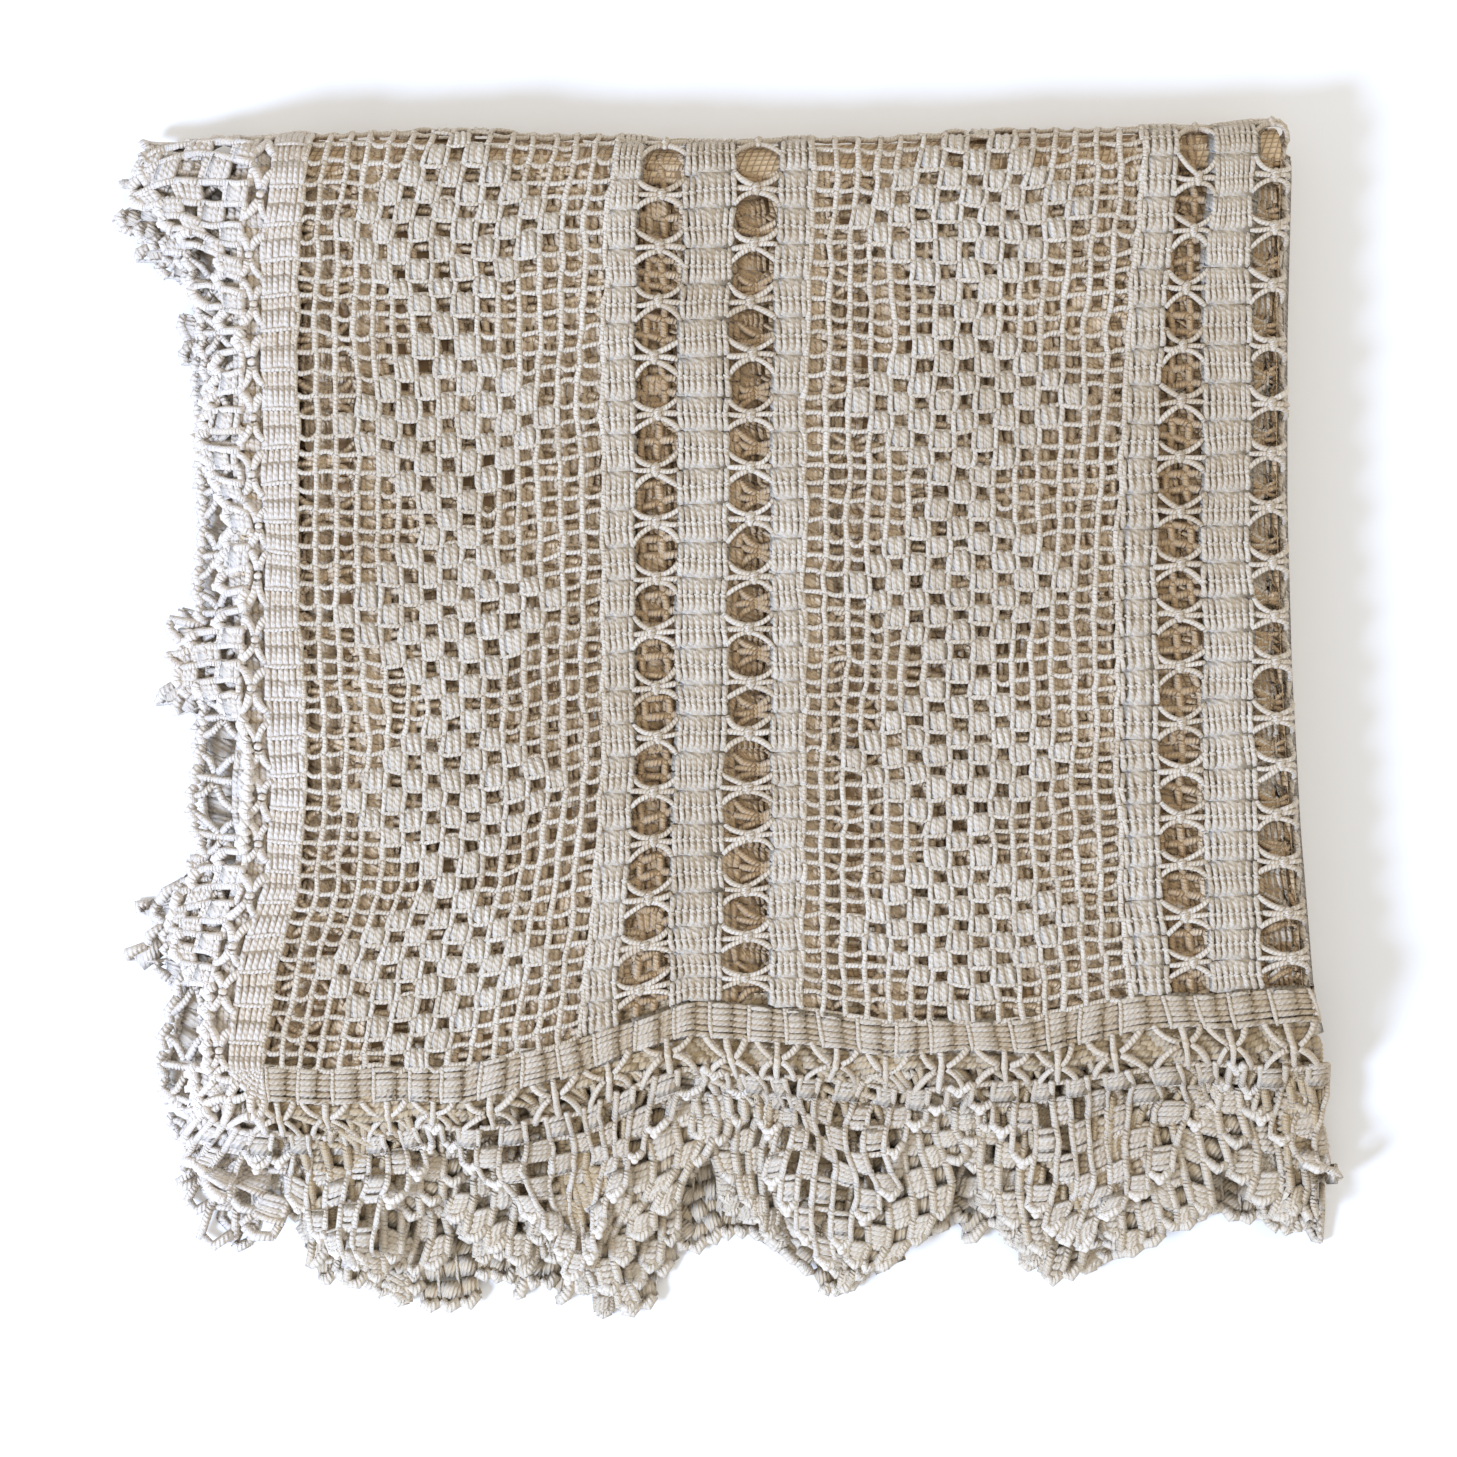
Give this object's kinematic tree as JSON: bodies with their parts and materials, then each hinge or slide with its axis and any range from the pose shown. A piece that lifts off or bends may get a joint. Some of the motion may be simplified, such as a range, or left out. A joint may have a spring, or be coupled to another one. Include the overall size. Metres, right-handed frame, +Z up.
{
  "type": "crochet bedspread",
  "caption": "Cream filet crochet bedspread with a pointed lace edging, folded both ways into a thick, nearly square packet.",
  "frame": {"origin": "centre of the bounding box in plan, at the height of the surface the folded bedspread lies on", "axes": "+Z up out of the upper layer, +Y from the edging towards the lengthwise fold, +X from the side edging towards the crosswise fold"},
  "size_m": [0.5499, 0.5602, 0.0433],
  "materials": {
    "cotton_yarn": "matte off-white crochet cotton, slightly glossy twisted strands",
    "edging_yarn": "matte off-white crochet cotton, slightly lighter than the cloth"
  },
  "bodies": {
    "root": {"bedspread_cloth": "cotton_yarn", "lace_edging": "edging_yarn"}
  },
  "joints": []
}
